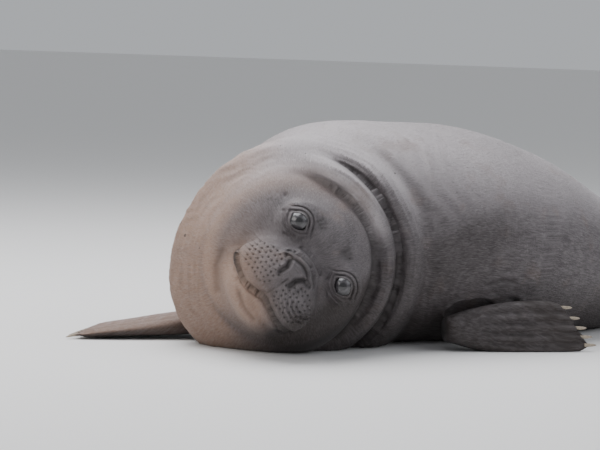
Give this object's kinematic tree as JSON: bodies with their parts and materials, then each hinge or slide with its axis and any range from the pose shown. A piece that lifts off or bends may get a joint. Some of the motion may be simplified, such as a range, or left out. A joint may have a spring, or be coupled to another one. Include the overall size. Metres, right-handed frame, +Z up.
{
  "type": "elephant seal",
  "caption": "Life-size model of a weaned elephant seal pup lying on its belly, its head turned to the left and resting on its left cheek.",
  "frame": {"origin": "on the ground, on the flat that the trunk rests on, under the chest and ribs", "axes": "+X runs along the rear of the trunk towards the head end, +Y is the animal's left, +Z is up"},
  "size_m": [1.5345, 0.7218, 0.4413],
  "materials": {
    "hide": "short flat fur over fat, grey-brown",
    "flipper_hide": "short dark fur on the flippers",
    "eye": "wet and glossy, almost black",
    "claw": "dull pale horn"
  },
  "bodies": {
    "root": {"head": "hide", "neck": "hide", "chest": "hide", "abdomen": "hide", "hindquarters": "hide", "tail": "hide", "eye_left": "eye", "eye_right": "eye", "fore_flipper_left": "flipper_hide", "fore_flipper_right": "flipper_hide", "hind_flipper_left": "flipper_hide", "hind_flipper_right": "flipper_hide", "claw_left_1": "claw", "claw_left_2": "claw", "claw_left_3": "claw", "claw_left_4": "claw", "claw_left_5": "claw", "claw_right_1": "claw", "claw_right_2": "claw", "claw_right_3": "claw", "claw_right_4": "claw", "claw_right_5": "claw"}
  },
  "joints": []
}
